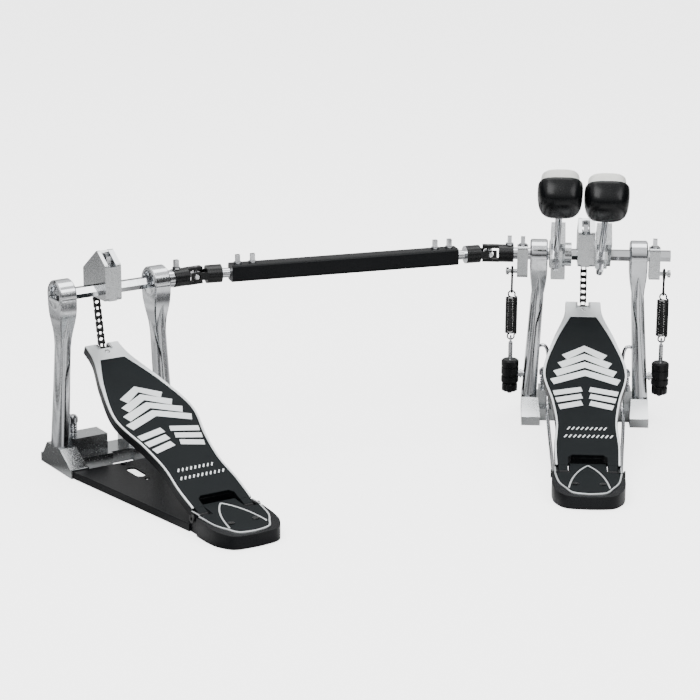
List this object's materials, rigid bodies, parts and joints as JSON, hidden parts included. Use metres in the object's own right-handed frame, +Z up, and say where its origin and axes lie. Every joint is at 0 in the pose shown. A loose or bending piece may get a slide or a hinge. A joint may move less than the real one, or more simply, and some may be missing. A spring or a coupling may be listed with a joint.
{
  "type": "double bass drum pedal",
  "caption": "Twin bass drum pedal: primary pedal with two felt beaters and return springs, slave pedal on a floor plate, chain-driven cams, and a telescoping universal-joint link shaft.",
  "frame": {"origin": "on the floor under the primary pedal's shaft, on the centre line of its footboard", "axes": "+X to the drummer's right along the primary shaft, +Y towards the drum, +Z up"},
  "size_m": [0.6512, 0.4817, 0.294],
  "materials": {
    "polished_cast": "polished and lightly brushed casting",
    "satin_cast": "satin cast",
    "chrome_steel": "bright chrome",
    "bearing_steel": "machined",
    "black_painted_metal": "black satin powder coat",
    "rubber_mat": "fine grained charcoal rubber",
    "black_plastic": "satin moulded",
    "black_spring_steel": "black oxide",
    "felt": "dense pressed felt"
  },
  "bodies": {
    "frame": {"base_frame": "satin_cast", "posts": "polished_cast", "bearings": "bearing_steel", "radius_rods": "chrome_steel", "heel_plate": "black_painted_metal", "heel_mat": "rubber_mat", "heel_fasteners": "chrome_steel", "tension_holders": "black_plastic", "tension_rods": "chrome_steel", "spurs": "chrome_steel"},
    "hoop_jaw": {"hoop_jaw": "satin_cast"},
    "clamp_bolt": {"clamp_bolt": "chrome_steel"},
    "tension_knob_left": {"tension_knob_left": "black_plastic"},
    "tension_knob_right": {"tension_knob_right": "black_plastic"},
    "rocker": {"hex_shaft": "chrome_steel", "cam_hub": "polished_cast", "cam_chain": "chrome_steel", "beater_clamp": "polished_cast", "spring_arm_right": "polished_cast", "rocker_bolts": "chrome_steel"},
    "beater_right": {"beater_rod_right": "chrome_steel", "beater_head_right": "black_plastic", "beater_felt_right": "felt"},
    "spring_right": {"spring_right": "black_spring_steel"},
    "spring_hook_right": {"spring_hook_right": "black_spring_steel"},
    "board": {"footboard": "black_painted_metal", "footboard_mat": "rubber_mat"},
    "chain": {"chain": "chrome_steel"},
    "secondary_rocker": {"sleeve_shaft": "chrome_steel", "secondary_hub": "polished_cast", "spring_arm_left": "polished_cast", "secondary_bolts": "chrome_steel", "joint_yoke_right": "black_painted_metal", "joint_cross_right": "chrome_steel"},
    "beater_left": {"beater_rod_left": "chrome_steel", "beater_head_left": "black_plastic", "beater_felt_left": "felt"},
    "spring_left": {"spring_left": "black_spring_steel"},
    "spring_hook_left": {"spring_hook_left": "black_spring_steel"},
    "link": {"link_tube": "black_painted_metal", "link_rod_right": "chrome_steel", "link_bolts": "chrome_steel"},
    "slave_frame": {"slave_base_plate": "black_painted_metal", "slave_base_frame": "satin_cast", "slave_posts": "polished_cast", "slave_bearings": "bearing_steel", "slave_heel_plate": "black_painted_metal", "slave_heel_mat": "rubber_mat", "slave_heel_fasteners": "chrome_steel", "slave_spurs": "chrome_steel"},
    "slave_rocker": {"slave_shaft": "chrome_steel", "slave_cam_hub": "polished_cast", "slave_cam_chain": "chrome_steel", "slave_rocker_bolts": "chrome_steel", "joint_yoke_left": "black_painted_metal", "joint_cross_left": "chrome_steel"},
    "slave_board": {"slave_footboard": "black_painted_metal", "slave_footboard_mat": "rubber_mat"},
    "slave_chain": {"slave_chain": "chrome_steel"},
    "link_slider": {"link_rod_left": "chrome_steel"}
  },
  "joints": [
    {"name": "rocker_turn", "type": "hinge", "parent": "frame", "child": "rocker", "pos_m": [0, 0, 0.18], "axis": [-1, 0, 0], "range_deg": [-6, 45], "stiffness_Nm_per_rad": 0.5},
    {"name": "board_tilt", "type": "hinge", "parent": "frame", "child": "board", "pos_m": [0, -0.239, 0.015], "axis": [-1, 0, 0], "range_deg": [-0.9, 5.4]},
    {"name": "chain_swing", "type": "hinge", "parent": "board", "child": "chain", "pos_m": [0, 0.01, 0.12], "axis": [-1, 0, 0], "range_deg": [-17, 3]},
    {"name": "spring_right_swing", "type": "hinge", "parent": "frame", "child": "spring_right", "pos_m": [0.085, 0, 0.085], "axis": [-1, 0, 0], "range_deg": [-10, 1.6]},
    {"name": "spring_right_stretch", "type": "slide", "parent": "spring_right", "child": "spring_hook_right", "axis": [0, 0, 1], "range_m": [-0.0012, 0.0075], "deforming": ["spring_right"]},
    {"name": "beater_right_height", "type": "slide", "parent": "rocker", "child": "beater_right", "axis": [0, -0.7431, 0.6691], "range_m": [-0.01, 0.018]},
    {"name": "slave_reach", "type": "slide", "parent": "frame", "child": "slave_frame", "axis": [-0.9317, -0.3633, 0], "range_m": [-0.01, 0.045]},
    {"name": "slave_rocker_turn", "type": "hinge", "parent": "slave_frame", "child": "slave_rocker", "pos_m": [-0.48727, -0.17787, 0.18], "axis": [-0.809, -0.5878, 0], "range_deg": [-6, 45], "stiffness_Nm_per_rad": 0.5},
    {"name": "slave_board_tilt", "type": "hinge", "parent": "slave_frame", "child": "slave_board", "pos_m": [-0.34678, -0.37123, 0.015], "axis": [-0.809, -0.5878, 0], "range_deg": [-0.9, 5.4]},
    {"name": "slave_chain_swing", "type": "hinge", "parent": "slave_board", "child": "slave_chain", "pos_m": [-0.49455, -0.16784, 0.11411], "axis": [-0.809, -0.5878, 0], "range_deg": [-17, 3]},
    {"name": "link_slider_turn", "type": "hinge", "parent": "slave_frame", "child": "link_slider", "pos_m": [-0.40394, -0.11733, 0.18], "axis": [-0.9317, -0.3633, 0], "range_deg": [-7, 46]},
    {"name": "link_turn", "type": "hinge", "parent": "frame", "child": "link", "pos_m": [-0.103, 0, 0.18], "axis": [-0.9317, -0.3633, 0], "range_deg": [-7, 46]},
    {"name": "secondary_turn", "type": "hinge", "parent": "frame", "child": "secondary_rocker", "pos_m": [-0.05, 0, 0.18], "axis": [-1, 0, 0], "range_deg": [-7, 46]},
    {"name": "beater_left_height", "type": "slide", "parent": "secondary_rocker", "child": "beater_left", "axis": [0, -0.7431, 0.6691], "range_m": [-0.01, 0.018]},
    {"name": "spring_left_swing", "type": "hinge", "parent": "frame", "child": "spring_left", "pos_m": [-0.077, 0, 0.085], "axis": [-1, 0, 0], "range_deg": [-10, 1.6]},
    {"name": "spring_left_stretch", "type": "slide", "parent": "spring_left", "child": "spring_hook_left", "axis": [0, 0, 1], "range_m": [-0.0012, 0.0075], "deforming": ["spring_left"]},
    {"name": "hoop_jaw_tilt", "type": "hinge", "parent": "frame", "child": "hoop_jaw", "pos_m": [0.004, 0.018, 0.026], "axis": [1, 0, 0], "range_deg": [0, 12]},
    {"name": "clamp_bolt_turn", "type": "hinge", "parent": "frame", "child": "clamp_bolt", "pos_m": [0.004, 0.027, 0.02], "axis": [0, 0, 1], "continuous": true},
    {"name": "knob_left_turn", "type": "hinge", "parent": "frame", "child": "tension_knob_left", "pos_m": [-0.077, 0, 0.031], "axis": [0, 0, 1], "continuous": true},
    {"name": "knob_right_turn", "type": "hinge", "parent": "frame", "child": "tension_knob_right", "pos_m": [0.085, 0, 0.031], "axis": [0, 0, 1], "continuous": true}
  ],
  "couplings": [
    {"joint": "board_tilt", "follows": "rocker_turn", "ratio": 0.109},
    {"joint": "chain_swing", "follows": "rocker_turn", "ratio": -0.355},
    {"joint": "spring_right_swing", "follows": "rocker_turn", "ratio": -0.213},
    {"joint": "spring_right_stretch", "follows": "rocker_turn", "m_per_rad": 0.0088},
    {"joint": "slave_board_tilt", "follows": "slave_rocker_turn", "ratio": 0.1052},
    {"joint": "slave_chain_swing", "follows": "slave_rocker_turn", "ratio": -0.293},
    {"joint": "link_slider_turn", "follows": "slave_rocker_turn", "ratio": 1},
    {"joint": "link_turn", "follows": "slave_rocker_turn", "ratio": 1},
    {"joint": "secondary_turn", "follows": "slave_rocker_turn", "ratio": 1},
    {"joint": "spring_left_swing", "follows": "slave_rocker_turn", "ratio": -0.213},
    {"joint": "spring_left_stretch", "follows": "slave_rocker_turn", "m_per_rad": 0.0088}
  ]
}
